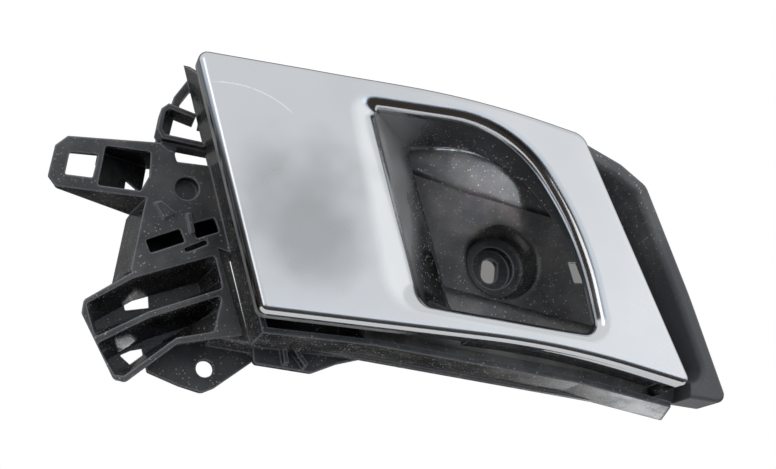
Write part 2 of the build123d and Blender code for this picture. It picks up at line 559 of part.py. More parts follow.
def build_bezel():
    """Bezel with the raised lip on the right and the finger bowl that narrows to the carrier floor."""
    face = outline(BEZEL_OUTLINE)
    bezel = slab(face, BEZEL_FRONT + BEZEL_WALL, BEZEL_FRONT)
    lip = slab(face, LIP_BACK, LIP_FRONT)
    lip = fillet(lip.faces().sort_by(Axis.Y)[0].edges(), LIP_OUTER_EDGE)
    corners = moved_corners(BEZEL_OUTLINE, [(LIP_WIDTH, LIP_WIDTH)] * len(BEZEL_OUTLINE))
    trough = outline([(x, z, max(corner[2], LIP_WIDTH)) for (x, z), corner in zip(corners, BEZEL_OUTLINE)])
    lip -= extrude(Plane.XZ.offset(-LIP_FRONT) * trough, LIP_FRONT - LIP_BACK, taper=LIP_TAPER)
    lip = fillet(lip.faces().sort_by(Axis.Y)[0].inner_wires()[0].edges(), LIP_INNER_EDGE)
    bezel += lip & slab(make_face(Polyline(*LIP_START, close=True)), LIP_BACK, LIP_FRONT)
    bezel += bowl(BEZEL_WALL)
    for x, z in BEZEL_BOSSES:
        bezel += post(x, z, BEZEL_BOSS_RADIUS, FLOOR_FRONT, BEZEL_FRONT + BEZEL_WALL)
    bezel -= bowl(0.0)
    bezel -= slab(outline(BOWL_MOUTH), BEZEL_FRONT, BEZEL_FRONT - PART_GAP)
    bezel -= slab(outline(FLOOR_OUTLINE), FLOOR_BACK, FLOOR_FRONT)
    for x, z in BEZEL_BOSSES:
        bezel -= post(x, z, SCREW_SHANK, FLOOR_FRONT, FLOOR_FRONT - BEZEL_SCREW_LENGTH)
    for x, z, _ in STOPS.values():
        bezel -= post(x, z, STOP_STEM_RADIUS, BEZEL_FRONT + BEZEL_WALL, BEZEL_FRONT)
    return bezel


def build_pin():
    """Hinge pin with a flat head and a groove for its clip."""
    pin = hinge_post(PIN_RADIUS, (PIN_LOW, PIN_HIGH))
    pin += hinge_post(PIN_HEAD_RADIUS, (PIN_HIGH, PIN_HIGH + PIN_HEAD))
    span = (EARS[0][0] - RING_HEIGHT - RUN_GAP, EARS[0][0])
    pin -= hinge_post(PIN_RADIUS, span) - hinge_post(RING_BORE, span)
    return in_hinge(chamfer(pin.edges().group_by(Axis.Z)[0], PIN_CHAMFER))


def build_clip_ring():
    """Open retaining ring in the pin's groove."""
    span = (EARS[0][0] - RING_HEIGHT, EARS[0][0])
    ring = hinge_post(RING_RADIUS, span) - hinge_post(RING_BORE, span)
    return in_hinge(ring - hinge_block((0, RING_RADIUS), (-RING_BORE / 2, RING_BORE / 2), span))


def build_bush(span):
    """Plain bush pressed in a knuckle."""
    return in_hinge(hinge_post(BUSH_RADIUS, span) - hinge_post(PIN_RADIUS + RUN_GAP, span))


def build_spring():
    """Torsion spring round the pin, with one leg on the lever frame and one on the carrier floor."""
    low, high = SPRING_SPAN
    coil = Helix(pitch=(high - low) / SPRING_TURNS, height=high - low, radius=SPRING_RADIUS, center=(0, 0, low))
    start = Plane(origin=coil @ 0, z_dir=coil % 0)
    wire = sweep(start * Circle(SPRING_WIRE), path=coil)
    lever_leg = Plane(origin=coil @ 0, z_dir=(0, -1, 0)) * extrude(Circle(SPRING_WIRE), SPRING_LEG)
    floor_leg = Plane(origin=coil @ 1, z_dir=(0, 1, 0)) * extrude(Circle(SPRING_WIRE), FLOOR_FRONT - HINGE_Y)
    return in_hinge(wire + lever_leg + floor_leg)


def build_stop(x, z, rest):
    """Rubber rest stop under the lever, with a stem in the bezel."""
    top = rest + PART_GAP
    cushion = post(x, z, STOP_RADIUS, BEZEL_FRONT, top)
    cushion = fillet(cushion.edges().sort_by(Axis.Y)[0], STOP_EDGE)
    return cushion + post(x, z, STOP_STEM_RADIUS, BEZEL_FRONT + BEZEL_WALL, BEZEL_FRONT)


def build_screw(x, z, seat, length):
    """Pan head screw driven from behind, with its head on the seat."""
    crown = SCREW_HEAD - SCREW_HEAD_EDGE
    head = [
        (0, 0), (SCREW_HEAD, 0), (SCREW_HEAD, SCREW_HEAD_EDGE), (crown, SCREW_HEAD_HEIGHT),
        (0, SCREW_HEAD_HEIGHT),
    ]
    screw = revolve(make_face(Polyline(*head, close=True)), Axis.Y)
    screw += extrude(Plane.XZ * Circle(SCREW_SHANK), length)
    long, wide = SCREW_CROSS
    cross = Box(long, SCREW_HEAD_HEIGHT, wide) + Box(wide, SCREW_HEAD_HEIGHT, long)
    screw -= Pos(0, SCREW_HEAD_HEIGHT, 0) * cross
    return Pos(x, seat, z) * screw


def build_all():
    """Every node of the handle by name."""
    nodes = {
        "carrier": build_carrier(),
        "bezel": build_bezel(),
        "lever_shell": build_lever_shell(),
        "lever_frame": build_lever_frame(),
        "pivot_pin": build_pin(),
        "pin_clip": build_clip_ring(),
        "return_spring": build_spring(),
    }
    for name, span in KNUCKLES.items():
        nodes["bush_" + name] = build_bush(span)
    for name, (x, z, rest) in STOPS.items():
        nodes["stop_" + name] = build_stop(x, z, rest)
    for index, (x, z) in enumerate(BEZEL_BOSSES, 1):
        nodes["bezel_screw_" + str(index)] = build_screw(x, z, FLOOR_BACK, BEZEL_SCREW_LENGTH)
    for index, (x, z) in enumerate(LEVER_BOSSES, 1):
        nodes["lever_screw_" + str(index)] = build_screw(x, z, FRAME_BACK, LEVER_SCREW_LENGTH)
    return nodes


os.makedirs("parts", exist_ok=True)
for node, solid in build_all().items():
    solids = solid.solids()
    export_step(solids[0] if len(solids) == 1 else Compound(children=solids), "parts/" + node + ".step")
    print(node, len(solids), "solid", round(solid.volume / 1000, 2), "cm3", solid.is_valid)
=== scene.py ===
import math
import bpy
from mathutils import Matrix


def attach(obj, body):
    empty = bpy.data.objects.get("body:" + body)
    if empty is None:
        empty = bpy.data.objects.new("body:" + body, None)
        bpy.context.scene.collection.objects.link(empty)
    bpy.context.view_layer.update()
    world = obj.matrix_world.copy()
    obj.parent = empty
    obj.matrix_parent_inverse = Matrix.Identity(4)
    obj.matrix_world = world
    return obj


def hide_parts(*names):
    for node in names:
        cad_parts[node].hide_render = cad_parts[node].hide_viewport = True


bl_info = {
    "name": "Interior Door Handle",
    "version": (1, 0, 0),
    "blender": (4, 5, 0),
    "location": "3D View > Sidebar > Door Handle",
    "description": "Finishes for a satin plated interior door handle on its black moulded carrier",
    "category": "Object",
}

import bmesh
import bpy
from mathutils import Matrix, Vector

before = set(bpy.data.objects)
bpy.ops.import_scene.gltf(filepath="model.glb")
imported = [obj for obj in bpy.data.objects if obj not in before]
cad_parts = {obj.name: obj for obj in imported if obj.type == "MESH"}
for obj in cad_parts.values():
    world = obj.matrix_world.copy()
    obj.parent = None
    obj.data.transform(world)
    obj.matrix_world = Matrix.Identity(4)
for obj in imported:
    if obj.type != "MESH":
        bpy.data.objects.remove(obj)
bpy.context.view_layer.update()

MM = 0.001
HINGE_SCREWS = [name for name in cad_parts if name.startswith("lever_screw")]
BEZEL_SCREWS = [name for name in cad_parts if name.startswith("bezel_screw")]


# Colours


def linear(hex_colour):
    """Turns an sRGB hex colour to the linear values that Blender works in."""
    values = []
    for start in (1, 3, 5):
        share = int(hex_colour[start:start + 2], 16) / 255
        values.append(share / 12.92 if share <= 0.04045 else ((share + 0.055) / 1.055) ** 2.4)
    return values


def colour_setting(name, description, hex_colour):
    """Colour that a user can change."""
    return bpy.props.FloatVectorProperty(
        name=name, description=description, subtype="COLOR", size=3, min=0.0, max=1.0,
        default=linear(hex_colour),
    )


def length_setting(name, description, millimetres):
    """Length that a user can change, kept in metres."""
    return bpy.props.FloatProperty(
        name=name, description=description, subtype="DISTANCE", unit="LENGTH", min=0.0,
        default=millimetres * MM,
    )


def angle_setting(name, description, degrees):
    """Angle that a user can change."""
    return bpy.props.FloatProperty(
        name=name, description=description, subtype="ANGLE", unit="ROTATION", default=math.radians(degrees)
    )


def power_setting(name, description, watts):
    """Power of a light that a user can change."""
    return bpy.props.FloatProperty(name=name, description=description, default=watts, unit="POWER")


class HandleColours(bpy.types.PropertyGroup):
    """Colours of the finishes."""

    plating: colour_setting("Plating", "Satin chrome of the lever", "#d3d5d7")
    nylon: colour_setting("Carrier nylon", "Black moulding of the carrier and the lever frame", "#2c2d30")
    soft_touch: colour_setting("Bezel", "Dark grey soft touch finish of the bezel", "#494a4e")
    dust: colour_setting("Dust", "Lint and dust that lies in the corners", "#c4c2bd")
    steel: colour_setting("Steel", "Ground steel of the hinge pin", "#b9babb")
    wire: colour_setting("Spring wire", "Drawn wire of the return spring", "#8f9092")
    zinc: colour_setting("Zinc", "Zinc plating of the screws", "#b4b7b9")
    acetal: colour_setting("Acetal", "Natural acetal of the bushes", "#e4e1d6")
    rubber: colour_setting("Rubber", "Rest stops", "#1c1c1c")


class LeverSizes(bpy.types.PropertyGroup):
    """Sizes of the plated lever, the same as those of its solid."""

    face_level: length_setting("Face level", "Depth of the plated face in front of the screw seat", 47.0)
    rim_level: length_setting("Rim level", "Depth of the rim's back in front of the screw seat", 39.0)
    edge_radius: length_setting("Edge radius", "Rolled edge round the plate", 2.4)
    lip_radius: length_setting("Lip radius", "Rounding where the opening turns in", 4.8)
    lip_slope: angle_setting("Lip slope", "Slope of the opening's walls", 81.0)
    ramp_radius: length_setting("Ramp radius", "Rounding at the top of the thumb ramp", 18.0)
    ramp_slope: angle_setting("Ramp slope", "Slope of the ramp at the opening's left", 50.0)
    ramp_spread: bpy.props.FloatProperty(
        name="Ramp spread", description="How much wider the ramp is at its foot than at its middle",
        default=0.2,
    )
    right_depth: length_setting("Right depth", "Depth of the opening's wall at its right", 5.2)
    wall: length_setting("Wall", "Thickness of the plated shell", 2.4)
    scratch_width: length_setting("Scratch width", "Width of the fine scratch", 0.38)


class StudioSettings(bpy.types.PropertyGroup):
    """Camera and light of the photograph."""

    azimuth: angle_setting("Azimuth", "Turn of the camera about the upright axis", -14.4)
    elevation: angle_setting("Elevation", "Height of the camera over the horizon", -18.0)
    roll: angle_setting("Roll", "Turn of the camera about its own axis", 7.0)
    distance: length_setting("Distance", "From the camera to the screw seat", 480.0)
    lens: bpy.props.FloatProperty(
        name="Lens", description="Focal length in millimetres on a 36 mm sensor", default=61.24,
        min=10.0, max=300.0,
    )
    floor_drop: length_setting("Floor drop", "From the screw seat down to the floor", 330.0)
    sky: bpy.props.FloatProperty(
        name="Sky", description="Strength of the even light", default=0.95, min=0.0, max=10.0,
    )
    right: power_setting("Right", "Power of the light at the right", 0.8)
    fill: power_setting("Fill", "Power of the fill at the right", 1.1)
    left: power_setting("Left", "Power of the light at the left", 1.5)
    top: power_setting("Top", "Power of the upper light", 1.5)
    low: power_setting("Low", "Power of the low fill at the right", 0.5)
    bowl: power_setting("Bowl", "Power of the gridded light in the bowl", 0.0045)
    strip: power_setting("Strip", "Power of the front strip", 0.8)


# Shader helpers

# Kinds of node: type, settings, sockets in the order of their values, and the output that is used or None for
# all of them
COORDINATES = ("ShaderNodeTexCoord", {}, (), None)
GEOMETRY = ("ShaderNodeNewGeometry", {}, (), "Normal")
LIGHT_PATH = ("ShaderNodeLightPath", {}, (), None)
SPLIT = ("ShaderNodeSeparateXYZ", {}, ("Vector",), None)
JOIN = ("ShaderNodeCombineXYZ", {}, ("X", "Z"), "Vector")
NOISE = (
    "ShaderNodeTexNoise", {"noise_dimensions": "3D"},
    ("Vector", "Scale", "Detail", "Roughness", "Distortion"), "Fac",
)
CELLS = (
    "ShaderNodeTexVoronoi", {"feature": "F1", "distance": "EUCLIDEAN"},
    ("Vector", "Scale", "Randomness"), "Distance",
)
RANGE = (
    "ShaderNodeMapRange", {"clamp": True, "interpolation_type": "SMOOTHSTEP"},
    ("Value", "From Min", "From Max", "To Min", "To Max"), "Result",
)
PLUS = ("ShaderNodeMath", {"operation": "ADD"}, (0, 1), "Value")
MINUS = ("ShaderNodeMath", {"operation": "SUBTRACT"}, (0, 1), "Value")
TIMES = ("ShaderNodeMath", {"operation": "MULTIPLY"}, (0, 1), "Value")
LARGER = ("ShaderNodeMath", {"operation": "MAXIMUM"}, (0, 1), "Value")
ABSOLUTE = ("ShaderNodeMath", {"operation": "ABSOLUTE"}, (0,), "Value")
STRETCH = ("ShaderNodeVectorMath", {"operation": "MULTIPLY"}, (0, 1), "Vector")
DISTANCE = ("ShaderNodeVectorMath", {"operation": "DISTANCE"}, (0, 1), "Value")
LENGTH = ("ShaderNodeVectorMath", {"operation": "LENGTH"}, (0,), "Value")
DOT = ("ShaderNodeVectorMath", {"operation": "DOT_PRODUCT"}, (0, 1), "Value")
# Mixes two colours, its sockets 6 and 7, by the share in socket 0
BLEND = ("ShaderNodeMix", {"data_type": "RGBA", "clamp_factor": True}, (0, 6, 7), 2)
BUMP = ("ShaderNodeBump", {}, ("Height", "Distance", "Strength", "Normal"), "Normal")
# Rounds edges in the shading only
BEVEL = ("ShaderNodeBevel", {"samples": 6}, ("Radius",), "Normal")
SURFACE = ("ShaderNodeBsdfPrincipled", {}, ("Base Color", "Roughness", "Normal", "Metallic", "IOR"), "BSDF")
MATERIAL_OUTPUT = ("ShaderNodeOutputMaterial", {}, ("Surface",), None)
BACKGROUND = ("ShaderNodeBackground", {}, ("Color", "Strength"), "Background")
EITHER = ("ShaderNodeMixShader", {}, (0, 1, 2), "Shader")
WORLD_OUTPUT = ("ShaderNodeOutputWorld", {}, ("Surface",), None)


def add_node(tree, kind, *values):
    """Adds a node of a kind, fills its sockets with values or links, and gives the output that is used."""
    type_name, settings, sockets, output = kind
    made = tree.nodes.new(type_name)
    for key, value in settings.items():
        setattr(made, key, value)
    for key, value in zip(sockets, values):
        if isinstance(value, bpy.types.NodeSocket):
            tree.links.new(value, made.inputs[key])
        else:
            made.inputs[key].default_value = value
    return made.outputs if output is None else made.outputs[output]


def opaque(colour, brightness=1.0):
    """Colour with full alpha, as a node's socket takes it, darkened or lightened by a factor."""
    return (*[value * brightness for value in colour], 1.0)


def new_material(name):
    """Empty material and its tree, with the object's own coordinates."""
    material = bpy.data.materials.new(name)
    material.use_nodes = True
    tree = material.node_tree
    tree.nodes.clear()
    return material, tree, add_node(tree, COORDINATES)["Object"]


# Finishes, with sizes and depths in metres

# Dust: cells that hold one speck each, clumps of specks, lint, powder and its patches. Real specks are finer
# than 0.3 mm and wouldn't show in the render, so they are drawn at that size.
DUST_CELL = 0.0013
DUST_CLUMP = 0.0028
LINT = 0.0009
POWDER = 0.0005
POWDER_PATCH = 0.009

# Range of a noise that goes from one look to the other
GREYS = (0.3, 0.7)

# The scratch is an arc on the plate, given by its centre, its radius and where it fades in and out
SCRATCH_CENTRE = (-0.106, -0.0033)
SCRATCH_RADIUS = 0.0329
SCRATCH_START = (-0.117, -0.110)
SCRATCH_END = (-0.0870, -0.0895)
SCRATCH_FOOT = (0.0, 0.004)
SCRATCH_BREAK = 0.003

# Plating: clouds of its tone, of the darker patch of painted reflection and of handling, streaks on the ramp,
# waves of the moulding under it, and satin grain, which is finer than the 0.6 mm that is drawn so that it shows
TONE_CLOUD = 0.045
DARK_REFLECTION_CLOUD = 0.02
HANDLING = 0.02
STREAK = 0.014
CROWN = 0.055
CROWN_DEPTH = 0.0005
SATIN_GRAIN = 0.0006
SATIN_DEPTH = 0.000004
POLISHED_ROUGHNESS = 0.13
SATIN_ROUGHNESS = 0.28

# The darker patch of painted reflection on the plate, and the depths between which a finish changes
DARK_REFLECTION_CENTRE = (-0.0785, -0.047, -0.007)
DARK_REFLECTION_STRETCH = (1.0, 1.0, 0.85)
DARK_REFLECTION_REACH = (0.030, 0.004)
FACE_EDGE = (-0.0464, -0.0469)
DUST_DEPTHS = (-0.0445, -0.034)
RAMP_DEPTHS = (-0.0435, -0.0415)
RAMP_SIDES = (-0.034, -0.046)

# Nylon: front faces point along -Y and draw faces don't, the draw faces being darker partly as painted shade,
# patches of dull film, flow marks, and a grain of spark erosion, which is drawn at 0.7 mm because the real 0.1
# mm is too fine to show
ERODED_UNSHADED_FACING = (-0.7, -0.9)
FILM_PATCH = 0.012
FLOW_MARK = 0.008
SPARK_GRAIN = 0.0007
SPARK_DEPTH = 0.00003
NYLON_IOR = 1.52
# Moulded edges are broken by about 0.4 mm, and are drawn wider so that the break shows
MOULDED_EDGE = 0.0012

# Paint: clouds of its tone and of the film in the bowl, the bowl's right rim and the height at which dust
# settles, and a grain, which is drawn at 0.8 mm because the real 0.2 mm is too fine to show
PAINT_CLOUD = 0.03
BOWL_FILM = 0.01
BOWL_RIM = (0.052, 0.044)
SETTLE = (0.002, -0.034)
PAINT_GRAIN = 0.0008
PAINT_DEPTH = 0.00004
PAINT_IOR = 1.5

# Small pieces: depth of working marks, broken edges, flow marks and grain
MARK_DEPTH = 0.00001
METAL_EDGE = 0.0001
SMALL_FLOW = 0.002
SMALL_GRAIN = 0.0006
SMALL_DEPTH = 0.00002
SMALL_EDGE = 0.0002


def edge_highlight_share(tree, rounded):
    """Share of the surface that lies on a rounded edge, where a highlight is painted lighter."""
    return add_node(tree, RANGE, add_node(tree, DOT, add_node(tree, GEOMETRY), rounded), 0.985, 0.88)


def dust_specks(tree, place, spread):
    """Share of dust: specks of about 0.3 mm, a little lint, and powder between them, thinned by a spread."""
    small = add_node(tree, RANGE, add_node(tree, CELLS, place, 1 / DUST_CELL, 1.0), 0.26, 0.12)
    clumps = add_node(tree, NOISE, place, 1 / DUST_CLUMP, 4.0, 0.7)
    specks = add_node(tree, TIMES, small, add_node(tree, RANGE, clumps, 0.44, 0.54, 0.0, 0.95))
    fibres = add_node(tree, NOISE, place, 1 / LINT, 2.0, 0.4, 3.0)
    lint = add_node(tree, RANGE, fibres, 0.70, 0.74, 0.0, 0.6)
    grains = add_node(tree, NOISE, place, 1 / POWDER, 3.0, 0.7)
    patches = add_node(tree, NOISE, place, 1 / POWDER_PATCH, 3.0, 0.55)
    powder = add_node(tree, RANGE, grains, 0.56, 0.72, 0.0, 0.28)
    powder = add_node(tree, TIMES, powder, add_node(tree, RANGE, patches, 0.42, 0.62))
    every = add_node(tree, LARGER, add_node(tree, LARGER, specks, lint), powder)
    return add_node(tree, TIMES, every, spread)


def scratch_mask(tree, place, width):
    """Share of one fine curved scratch in the upper left of the plate."""
    parts = add_node(tree, SPLIT, place)
    across = parts["X"]
    up = parts["Z"]
    from_centre = (
        add_node(tree, PLUS, across, -SCRATCH_CENTRE[0]), add_node(tree, PLUS, up, -SCRATCH_CENTRE[1]),
    )
    reach = add_node(tree, LENGTH, add_node(tree, JOIN, *from_centre))
    off_line = add_node(tree, MINUS, reach, SCRATCH_RADIUS)
    share = add_node(tree, RANGE, add_node(tree, ABSOLUTE, off_line), width, 0.0)
    for along, ends in ((across, SCRATCH_START), (across, SCRATCH_END), (up, SCRATCH_FOOT)):
        share = add_node(tree, TIMES, share, add_node(tree, RANGE, along, *ends))
    breaks = add_node(tree, NOISE, place, 1 / SCRATCH_BREAK, 2.0, 0.55)
    return add_node(tree, TIMES, share, add_node(tree, RANGE, breaks, 0.24, 0.40))


def satin_chrome_plating():
    """Satin chrome on moulded plastic, which gives a soft broad gloss, with a darker patch of painted
    reflection, scratched and dusty.
    """
    colours = bpy.context.scene.handle_colours
    sizes = bpy.context.scene.handle_lever
    material, tree, place = new_material("satin chrome plating on moulded plastic")
    parts = add_node(tree, SPLIT, place)
    # The plating's tone drifts slowly over the plate
    cloud = add_node(tree, RANGE, add_node(tree, NOISE, place, 1 / TONE_CLOUD, 2.0, 0.55), *GREYS)
    tone = add_node(tree, BLEND, cloud, opaque(colours.plating), opaque(colours.plating, 0.94))
    # A darker patch with a soft uneven edge: painted reflection of a dark shape mirrored in the plate
    reflection_distance = add_node(tree, DISTANCE, add_node(tree, STRETCH, place, DARK_REFLECTION_STRETCH), DARK_REFLECTION_CENTRE)
    uneven = add_node(tree, NOISE, place, 1 / DARK_REFLECTION_CLOUD, 2.0, 0.55)
    reflection_distance = add_node(tree, PLUS, reflection_distance, add_node(tree, RANGE, uneven, 0.2, 0.8, -0.006, 0.006))
    patch_share = add_node(tree, RANGE, reflection_distance, *DARK_REFLECTION_REACH, 0.0, 0.46)
    tone = add_node(tree, BLEND, patch_share, tone, opaque(colours.plating, 0.2))
    scratch = scratch_mask(tree, place, sizes.scratch_width)
    tone = add_node(tree, BLEND, add_node(tree, TIMES, scratch, 0.9), tone, opaque(linear("#f4f5f6")))
    # Specks lie inside the opening and a streaky film lies on the ramp
    inside = add_node(tree, RANGE, parts["Y"], *DUST_DEPTHS)
    dust = dust_specks(tree, place, add_node(tree, TIMES, inside, 0.7))
    deep = add_node(tree, RANGE, parts["Y"], *RAMP_DEPTHS)
    ramp = add_node(tree, TIMES, deep, add_node(tree, RANGE, parts["X"], *RAMP_SIDES))
    streaks = add_node(tree, NOISE, place, 1 / STREAK, 2.0, 0.5)
    film = add_node(tree, TIMES, ramp, add_node(tree, RANGE, streaks, *GREYS, 0.26, 0.42))
    dust = add_node(tree, LARGER, dust, film)
    tone = add_node(tree, BLEND, dust, tone, opaque(colours.dust))
    # The face is satin and the rolled edges and the opening are polished
    rough = add_node(tree, RANGE, parts["Y"], *FACE_EDGE, POLISHED_ROUGHNESS, SATIN_ROUGHNESS)
    handling = add_node(tree, NOISE, place, 1 / HANDLING, 3.0, 0.55)
    rough = add_node(tree, PLUS, rough, add_node(tree, RANGE, handling, 0.2, 0.8, -0.02, 0.03))
    rough = add_node(tree, PLUS, rough, add_node(tree, TIMES, scratch, 0.25))
    rough = add_node(tree, PLUS, rough, add_node(tree, TIMES, dust, 0.6))
    # The satin grain lies on a moulding that is a little wavy
    crown = add_node(tree, BUMP, add_node(tree, NOISE, place, 1 / CROWN, 1.0, 0.4), CROWN_DEPTH, 1.0)
    satin = add_node(tree, NOISE, place, 1 / SATIN_GRAIN, 2.0, 0.55)
    normal = add_node(tree, BUMP, satin, SATIN_DEPTH, 0.5, crown)
    metallic = add_node(tree, MINUS, 1.0, dust)
    add_node(tree, MATERIAL_OUTPUT, add_node(tree, SURFACE, tone, rough, normal, metallic))
    return material


def moulded_black_nylon(name, dusty):
    """Black glass filled nylon, moulded: matt front faces of spark erosion, glossy black draw faces that are
    also painted darker as shade, edges painted lighter as highlights, and dust.
    """
    colours = bpy.context.scene.handle_colours
    material, tree, place = new_material(name)
    spread = add_node(tree, RANGE, add_node(tree, SPLIT, place)["Z"], 0.01, -0.032, dusty * 0.35, dusty)
    dust = dust_specks(tree, place, spread)
    film = add_node(tree, RANGE, add_node(tree, NOISE, place, 1 / FILM_PATCH, 5.0, 0.6), 0.3, 0.75)
    film = add_node(tree, TIMES, film, dusty * 0.12)
    facing = add_node(tree, SPLIT, add_node(tree, COORDINATES)["Normal"])["Y"]
    # Faces that don't point along -Y are glossy draw faces, painted 0.4 times darker, partly as shade in the
    # deep parts
    eroded_unshaded = add_node(tree, RANGE, facing, *ERODED_UNSHADED_FACING)
    base = add_node(tree, BLEND, eroded_unshaded, opaque(colours.nylon, 0.4), opaque(colours.nylon))
    # Painted highlight: rounded edges are drawn far lighter, as lit edges
    rounded = add_node(tree, BEVEL, MOULDED_EDGE)
    painted_edge_highlight = add_node(tree, TIMES, edge_highlight_share(tree, rounded), 0.9)
    base = add_node(tree, BLEND, painted_edge_highlight, base, opaque(colours.nylon, 11.0))
    for share in (film, dust):
        base = add_node(tree, BLEND, share, base, opaque(colours.dust))
    flow = add_node(tree, NOISE, place, 1 / FLOW_MARK, 3.0, 0.55)
    rough = add_node(tree, RANGE, flow, *GREYS, 0.17, 0.26)
    rough = add_node(tree, PLUS, rough, add_node(tree, TIMES, eroded_unshaded, 0.2))
    rough = add_node(tree, PLUS, rough, add_node(tree, TIMES, dust, 0.35))
    spark = add_node(tree, NOISE, place, 1 / SPARK_GRAIN, 2.0, 0.55)
    normal = add_node(tree, BUMP, spark, SPARK_DEPTH, 0.6, rounded)
    add_node(tree, MATERIAL_OUTPUT, add_node(tree, SURFACE, base, rough, normal, 0.0, NYLON_IOR))
    return material


def soft_touch_paint():
    """Dark grey soft touch paint over a moulding: matt, with a fine even grain, and dusty in the bowl."""
    colours = bpy.context.scene.handle_colours
    material, tree, place = new_material("dark grey soft touch moulding")
    parts = add_node(tree, SPLIT, place)
    cloud = add_node(tree, RANGE, add_node(tree, NOISE, place, 1 / PAINT_CLOUD, 4.0, 0.55), *GREYS)
    base = add_node(tree, BLEND, cloud, opaque(colours.soft_touch), opaque(colours.soft_touch, 0.85))
    inside = add_node(tree, RANGE, parts["X"], *BOWL_RIM, 0.10, 1.0)
    dust = dust_specks(tree, place, inside)
    film = add_node(tree, RANGE, add_node(tree, NOISE, place, 1 / BOWL_FILM, 4.0, 0.6), *GREYS, 0.3, 1.0)
    film = add_node(tree, TIMES, film, inside)
    settled = add_node(tree, RANGE, parts["Z"], *SETTLE, 0.12, 0.36)
    for share in (add_node(tree, TIMES, film, settled), dust):
        base = add_node(tree, BLEND, share, base, opaque(colours.dust))
    patch_share = add_node(tree, NOISE, place, 1 / BOWL_FILM, 3.0, 0.55)
    rough = add_node(tree, RANGE, patch_share, *GREYS, 0.36, 0.44)
    rough = add_node(tree, PLUS, rough, add_node(tree, TIMES, dust, 0.3))
    fine = add_node(tree, NOISE, place, 1 / PAINT_GRAIN, 1.0, 0.55)
    normal = add_node(tree, BUMP, fine, PAINT_DEPTH, 0.5, add_node(tree, BEVEL, MOULDED_EDGE))
    add_node(tree, MATERIAL_OUTPUT, add_node(tree, SURFACE, base, rough, normal, 0.0, PAINT_IOR))
    return material


def plain_metal(name, colour, roughness, mark_size):
    """Turned or drawn metal with fine working marks round it, which break up its gloss."""
    material, tree, place = new_material(name)
    marks = add_node(tree, NOISE, place, 1 / mark_size, 4.0, 0.7)
    base = add_node(tree, BLEND, add_node(tree, RANGE, marks, *GREYS), opaque(colour), opaque(colour, 0.8))
    rough = add_node(tree, RANGE, marks, *GREYS, roughness, roughness + 0.12)
    normal = add_node(tree, BUMP, marks, MARK_DEPTH, 0.4, add_node(tree, BEVEL, METAL_EDGE))
    add_node(tree, MATERIAL_OUTPUT, add_node(tree, SURFACE, base, rough, normal, 1.0))
    return material


def plain_moulding(name, colour, roughness):
    """Small moulded piece with a fine grain and a trace of dust, which take the shine off it."""
    colours = bpy.context.scene.handle_colours
    material, tree, place = new_material(name)
    base = add_node(tree, BLEND, dust_specks(tree, place, 0.5), opaque(colour), opaque(colours.dust))
    flow = add_node(tree, NOISE, place, 1 / SMALL_FLOW, 3.0, 0.55)
    rough = add_node(tree, RANGE, flow, *GREYS, roughness, roughness + 0.1)
    fine = add_node(tree, NOISE, place, 1 / SMALL_GRAIN, 2.0, 0.55)
    normal = add_node(tree, BUMP, fine, SMALL_DEPTH, 0.5, add_node(tree, BEVEL, SMALL_EDGE))
    add_node(tree, MATERIAL_OUTPUT, add_node(tree, SURFACE, base, rough, normal))
    return material


def finish_node(name, material):
    """Gives a CAD node its finish."""
    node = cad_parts[name]
    node.data.materials.clear()
    node.data.materials.append(material)


# Plated lever

# Corners of the plate and of its finger opening in millimetres, x, z and radius
LEVER_OUTLINE = [
    (-121.4, 39.0, 3.0), (-25.0, 44.8, 300.0), (13.6, 40.3, 7.0),
    (59.8, -41.0, 2.5), (12.0, -35.7, 300.0), (-88.0, -42.2, 3.0),
]
OPENING_OUTLINE = [
    (-71.8, 36.7, 7.0), (-10.1, 41.6, 45.0), (19.2, 4.2, 100.0), (31.0, -33.2, 8.5), (-50.0, -34.2, 15.0),
]
# Tightest radii of the opening's corners further in, and of the plate's
TIGHTEST_CORNER = 2.0
TIGHTEST_PLATE_CORNER = 0.05
# The scoop's wall ends deeper to the left of a place, by a share of the distance, and its end is searched for
# between the lip and a deepest level by halving
TRIM_START = 15.0
TRIM_RATE = 0.38
DEEPEST = 40.0
HALVINGS = 16
# Points on each rounded corner and each side of a ring
CORNER_STEPS = 10
SIDE_STEPS = 8
# Degrees round the rolled edge and the lip, and shares of the way down the wall, at which there is a ring
EDGE_ANGLES = range(10, 91, 10)
LIP_ANGLES = (6, 13, 20, 27, 34, 41, 48, 55, 62, 69, 76, 81)
WALL_SHARES = (0.06, 0.12, 0.2, 0.3, 0.42, 0.55, 0.7, 0.85, 1.0)
# The flat face ends a little outside the opening and inside the rolled edge
FLAT_RIM = -0.2
# Width by which the shell's sharp edges are broken
SOFT_EDGE = 0.25
# The upper left corner of the opening is eased within a reach, below the face, in a number of passes
CORNER_REACH = 11.0
CORNER_RIM = 0.05
CORNER_PASSES = 8


def turn_in(depth, radius, slope):
    """How far a wall has come in at a depth, after a rounded lip that ends in a steady slope."""
    bend = radius * (1 - math.cos(slope))
    if depth < bend:
        return math.sqrt(max(2 * radius * depth - depth * depth, 0.0))
    return radius * math.sin(slope) + (depth - bend) / math.tan(slope)


def unit_across(x0, z0, x1, z1):
    """Unit normal on the inner side of a polygon's side."""
    length = math.hypot(x1 - x0, z1 - z0)
    return (z1 - z0) / length, -(x1 - x0) / length


def moved_corners(corners, distances):
    """Corners of a polygon whose sides move inwards, each by one distance at its start and one at its end."""
    lines = []
    for (x0, z0, _), (x1, z1, _), (first, last) in zip(corners, corners[1:] + corners[:1], distances):
        across = unit_across(x0, z0, x1, z1)
        start = (x0 + first * across[0], z0 + first * across[1])
        end = (x1 + last * across[0], z1 + last * across[1])
        across = unit_across(*start, *end)
        lines.append((across, across[0] * start[0] + across[1] * start[1]))
    moved = []
    for index in range(len(corners)):
        (a0, b0), c0 = lines[index - 1]
        (a1, b1), c1 = lines[index]
        turn = a0 * b1 - a1 * b0
        moved.append(((c0 * b1 - c1 * b0) / turn, (a0 * c1 - a1 * c0) / turn))
    return moved


